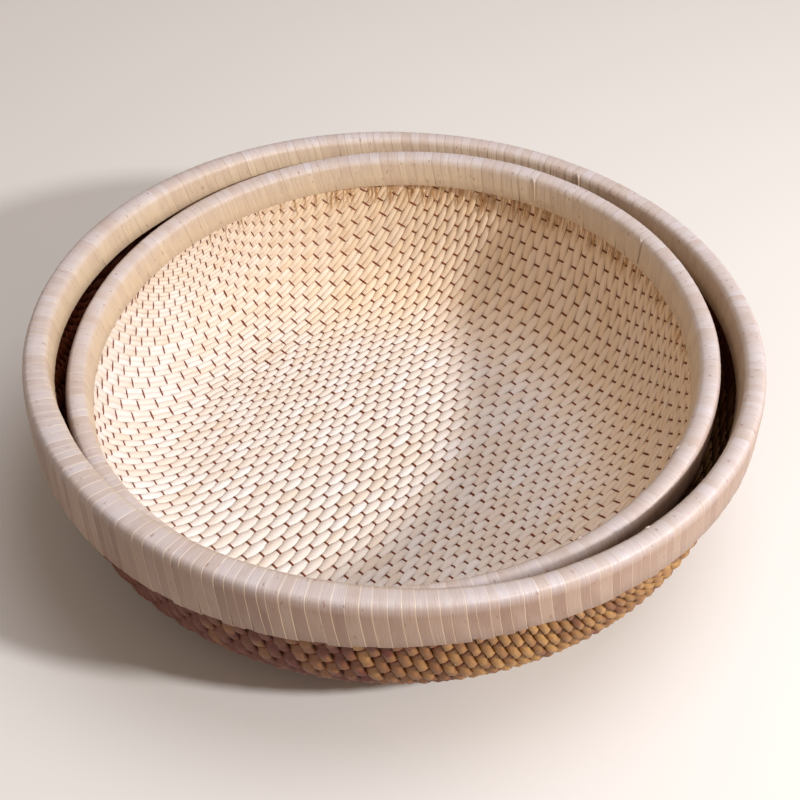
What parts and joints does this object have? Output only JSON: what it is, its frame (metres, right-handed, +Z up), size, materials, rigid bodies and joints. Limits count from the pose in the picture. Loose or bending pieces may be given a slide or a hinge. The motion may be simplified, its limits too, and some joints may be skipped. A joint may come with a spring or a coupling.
{
  "type": "nested wicker storage baskets",
  "caption": "Shallow round willow storage baskets, a small one nested in a large one, with flat floors, leaning woven sides and splint-bound rims.",
  "frame": {"origin": "middle of the large basket's flat underside, on the surface that it stands on", "axes": "+Z up through both baskets; -Y towards the front, the side that the picture was taken from; +X to the right"},
  "size_m": [0.5, 0.5, 0.14],
  "materials": {
    "willow_rods": "peeled willow, smooth and satin",
    "willow_splint": "thin split willow, satin with a slight sheen",
    "hoop_lath": "plain bent lath, matt",
    "twisted_cord": "thin twisted hemp cord, dull"
  },
  "bodies": {
    "large_basket": {"large_woven_bowl": "willow_rods", "large_outer_hoop": "hoop_lath", "large_inner_hoop": "hoop_lath", "large_rim_splint_1": "willow_splint", "large_rim_splint_2": "willow_splint", "large_rim_splint_3": "willow_splint", "large_rim_splint_4": "willow_splint", "large_rim_splint_5": "willow_splint", "large_rim_splint_6": "willow_splint", "large_rim_splint_7": "willow_splint", "large_rim_splint_8": "willow_splint"},
    "small_basket": {"small_woven_bowl": "willow_rods", "small_outer_hoop": "hoop_lath", "small_inner_hoop": "hoop_lath", "small_rim_splint_1": "willow_splint", "small_rim_splint_2": "willow_splint", "small_rim_splint_3": "willow_splint", "small_rim_splint_4": "willow_splint", "small_rim_splint_5": "willow_splint", "small_rim_splint_6": "willow_splint", "small_rim_splint_7": "willow_splint", "small_rim_splint_8": "willow_splint"}
  },
  "joints": [
    {"name": "small_basket_lift", "type": "slide", "parent": "large_basket", "child": "small_basket", "axis": [0, 0, 1], "range_m": [0, 0.15]}
  ]
}
